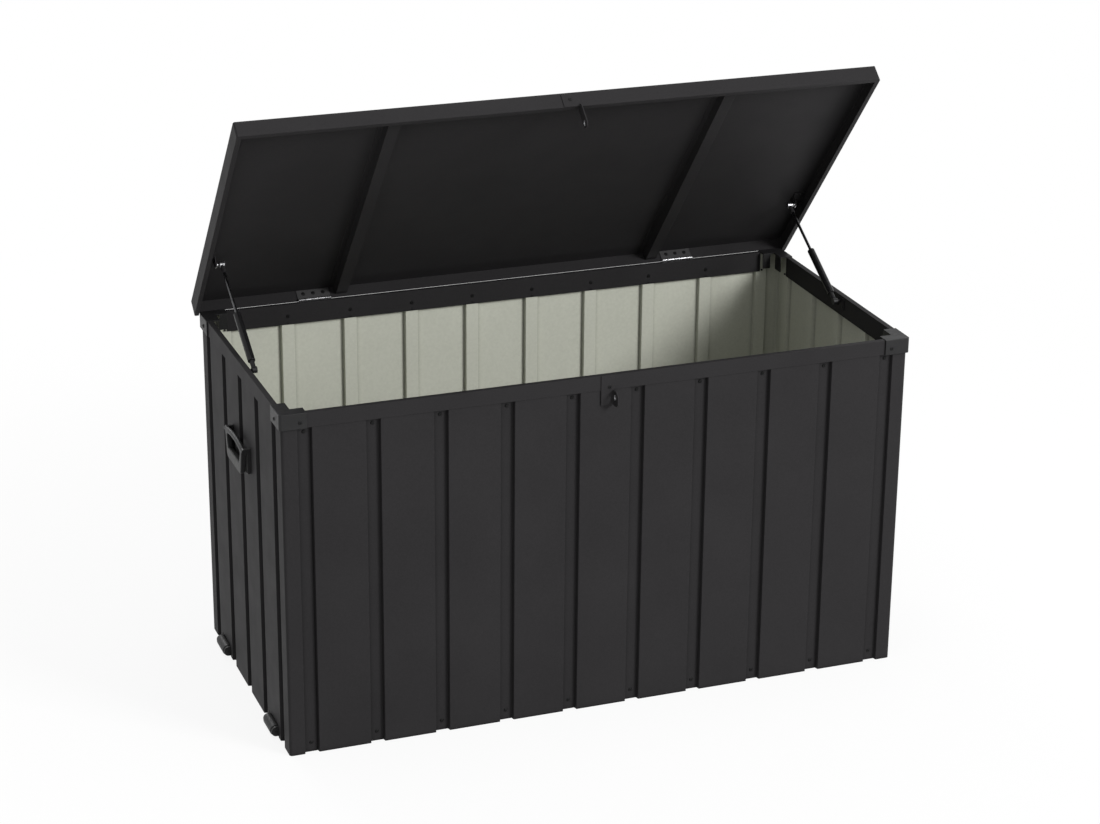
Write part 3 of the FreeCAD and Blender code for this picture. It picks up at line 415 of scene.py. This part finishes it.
def part_bare(name, coat_colours, metal_colours, y, z, reach):
    """Coated steel that is bare metal within reach of the line along X through y and z."""
    cloud = 0.004
    relief_size = 0.0018
    relief_depth = 0.00008
    relief_strength = 0.5
    material, tree, shader = new_material(name)
    coordinate = place(tree)
    bare = math_node(tree, "LESS_THAN", distance_across(tree, coordinate, y, z), reach)
    normal, edge = rounded_edges(tree)
    clouds = contrast(tree, noise(tree, coordinate, cloud, fine_detail))
    coat = blend_colours(tree, mottle(tree, coordinate, coat_speckle, coat_tone), *coat_colours)
    metal = blend_colours(tree, clouds, *metal_colours)
    # Painted highlight: the coat is paler along its edges, in broken patches.
    colour = blend_colours(tree, bare, painted_edge_highlight(tree, coordinate, coat, edge), metal)
    tree.links.new(colour, shader.inputs["Base Color"])
    tree.links.new(bare, shader.inputs["Metallic"])
    shine = spread(tree, clouds, 0.0, 1.0, *bare_roughness)
    dull = spread(tree, bare, 0.0, 1.0, part_roughness, 0.0)
    tree.links.new(math_node(tree, "MAXIMUM", shine, dull), shader.inputs["Roughness"])
    shader.inputs["Specular IOR Level"].default_value = coat_specular
    relief = noise(tree, coordinate, relief_size)
    bump(tree, shader, relief, relief_depth, relief_strength, normal)
    return material


def lacquer(name, colours, roughness, metallic):
    """Smooth dark coat of a turned piece, with faint turning lines."""
    cloud = 0.004
    line_size = 0.0012
    line_depth = 0.00003
    line_strength = 0.35
    material, tree, shader = new_material(name)
    coordinate = place(tree)
    clouds = noise(tree, coordinate, cloud, fine_detail)
    tree.links.new(blend_colours(tree, contrast(tree, clouds), *colours), shader.inputs["Base Color"])
    tree.links.new(contrast(tree, clouds, roughness), shader.inputs["Roughness"])
    shader.inputs["Metallic"].default_value = metallic
    shader.inputs["Specular IOR Level"].default_value = black_specular
    bump(tree, shader, noise(tree, coordinate, line_size), line_depth, line_strength)
    return material


def seen_directly(tree):
    """1 for camera rays and for what metal and glass show."""
    path = tree.nodes.new("ShaderNodeLightPath")
    seen = math_node(tree, "MAXIMUM", path.outputs["Is Camera Ray"], path.outputs["Is Glossy Ray"])
    return math_node(tree, "MAXIMUM", seen, path.outputs["Is Transmission Ray"])


def stage_floor():
    """Plain pale floor that keeps the chest's shadow."""
    bpy.ops.mesh.primitive_plane_add(size=2 * floor_half, location=(0.0, 0.0, 0.0))
    floor = bpy.context.object
    floor.name = "stage_floor"
    material, tree, shader = new_material("stage_floor")
    shader.inputs["Base Color"].default_value = floor_colour
    shader.inputs["Roughness"].default_value = 1.0
    shader.inputs["Specular IOR Level"].default_value = 0.0
    glow = tree.nodes.new("ShaderNodeEmission")
    glow.inputs["Color"].default_value = white
    glow.inputs["Strength"].default_value = 1.0
    length = tree.nodes.new("ShaderNodeVectorMath")
    length.operation = "LENGTH"
    tree.links.new(place(tree), length.inputs[0])
    far = length.outputs["Value"]
    white_share = spread(tree, far, shadow_near, shadow_far, 1.0 - shadow_share, 1.0)
    mix = tree.nodes.new("ShaderNodeMixShader")
    tree.links.new(math_node(tree, "MULTIPLY", seen_directly(tree), white_share), mix.inputs[0])
    tree.links.new(shader.outputs["BSDF"], mix.inputs[1])
    tree.links.new(glow.outputs["Emission"], mix.inputs[2])
    output = next(n for n in tree.nodes if n.type == "OUTPUT_MATERIAL")
    tree.links.new(mix.outputs["Shader"], output.inputs["Surface"])
    floor.data.materials.append(material)


def stage_world():
    """Soft grey room light, white where the camera or a reflection looks at it."""
    world = bpy.data.worlds.new("studio")
    world.use_nodes = True
    tree = world.node_tree
    tree.nodes.clear()
    output = tree.nodes.new("ShaderNodeOutputWorld")
    background = tree.nodes.new("ShaderNodeBackground")
    background.inputs["Color"].default_value = white
    strength = spread(tree, seen_directly(tree), 0.0, 1.0, room_strength, 1.0)
    tree.links.new(strength, background.inputs["Strength"])
    tree.links.new(background.outputs["Background"], output.inputs["Surface"])
    bpy.context.scene.world = world


def stage_lamps():
    """Square soft boxes that face the chest."""
    for name, place_at, size, power in lamps:
        data = bpy.data.lights.new(name, "AREA")
        data.shape = "SQUARE"
        data.size = size
        data.energy = power
        lamp = bpy.data.objects.new(name, data)
        lamp.location = place_at
        lamp.rotation_mode = "QUATERNION"
        lamp.rotation_quaternion = (lamp_target - Vector(place_at)).to_track_quat("-Z", "Y")
        bpy.context.scene.collection.objects.link(lamp)


def photo_camera():
    """The photograph's camera, its view direction from azimuth, elevation and roll."""
    back = Vector((
        math.sin(camera_azimuth) * math.cos(camera_elevation),
        -math.cos(camera_azimuth) * math.cos(camera_elevation),
        math.sin(camera_elevation),
    ))
    right = Vector((0.0, 0.0, 1.0)).cross(back).normalized()
    up = back.cross(right)
    c = math.cos(camera_roll)
    s = math.sin(camera_roll)
    turned_right = right * c + up * s
    turned_up = up * c - right * s
    data = bpy.data.cameras.new("photo_camera")
    data.sensor_fit = "HORIZONTAL"
    data.sensor_width = sensor_width
    data.lens = focal_pixels * sensor_width / photo_width
    data.clip_start = near_clip
    data.clip_end = far_clip
    camera = bpy.data.objects.new("photo_camera", data)
    turn = Matrix((turned_right, turned_up, back)).transposed()
    camera.matrix_world = Matrix.Translation(camera_place) @ turn.to_4x4()
    bpy.context.scene.collection.objects.link(camera)
    bpy.context.scene.camera = camera


def dress(material, *starts):
    """Puts a material on every CAD node whose name begins with one of the given words."""
    for name, piece in nodes.items():
        if name.startswith(starts):
            for slot in piece.material_slots:
                slot.material = material


def dress_sheets():
    """Walls, floor, rails, lid and brackets."""
    dress(frame_coat(), "top_rail", "bottom_rail", "lid_pan", "lid_stiffener", "strut_bracket_body")
    dress(wall_coat(), "front_panel", "back_panel", "left_panel", "right_panel", "corner_column")
    dress(floor_coat(), "floor_panel")


def dress_plastic():
    """Caps, handles, rollers and strut ends."""
    black = moulded_plastic("black_plastic", plastic, plastic_roughness, plastic_grain)
    dress(black, "corner_cap", "handle_base", "handle_grip", "roller_housing")
    dress(black, "strut_lower_socket", "strut_gland")
    roller = moulded_plastic("roller_plastic", roller_black, roller_roughness, roller_grain)
    dress(roller, "roller_front", "roller_back")


def mount_across(name):
    """Y and Z of one of the record's mounts, whose axis runs along X."""
    mount = next(m for m in frame["record"]["mounts"] if m["name"] == name)
    return mount["pos_m"][1:]


def dress_metal():
    """Hinges, padlock plates, screws and struts."""
    pin_low, pin_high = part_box("hinge_pins")
    pin_y = (pin_low.y + pin_high.y) / 2
    pin_z = (pin_low.z + pin_high.z) / 2
    dress(zinc_plate(), "hinge_pins")
    dress(part_bare("hinge_steel", leaf_coat, zinc, pin_y, pin_z, knuckle_reach), "hinge_leaf")
    ball_y = pin_y - upper_ball_ahead_of_pin
    ball_z = pin_z + upper_ball_above_pin
    ball_steel = part_bare("ball_steel", dark_coat, zinc, ball_y, ball_z, ball_reach)
    dress(ball_steel, "strut_bracket_lid", "strut_upper_socket")
    body_eye = mount_across("padlock_eye_body")
    lid_eye = mount_across("padlock_eye_lid")
    dress(part_bare("body_lock_steel", dark_coat, worn_steel, *body_eye, eye_reach), "lock_plate_body")
    dress(part_bare("lid_lock_steel", dark_coat, worn_steel, *lid_eye, eye_reach), "lock_plate_lid")
    blackened = lacquer("blackened_steel", screw_black, screw_roughness, metallic=0.0)
    dress(blackened, "wall_screws", "rail_screws", "fitting_screws", "lid_screws", "handle_screws")
    dress(blackened, "roller_axles")
    dress(lacquer("tube_lacquer", tube_black, tube_roughness, metallic=0.0), "strut_tube")
    dress(lacquer("rod_steel", rod_grey, rod_roughness, metallic=1.0), "strut_rod")


bpy.context.scene.view_settings.view_transform = "Standard"
dress_sheets()
dress_plastic()
dress_metal()
stage_floor()
stage_world()
stage_lamps()
photo_camera()
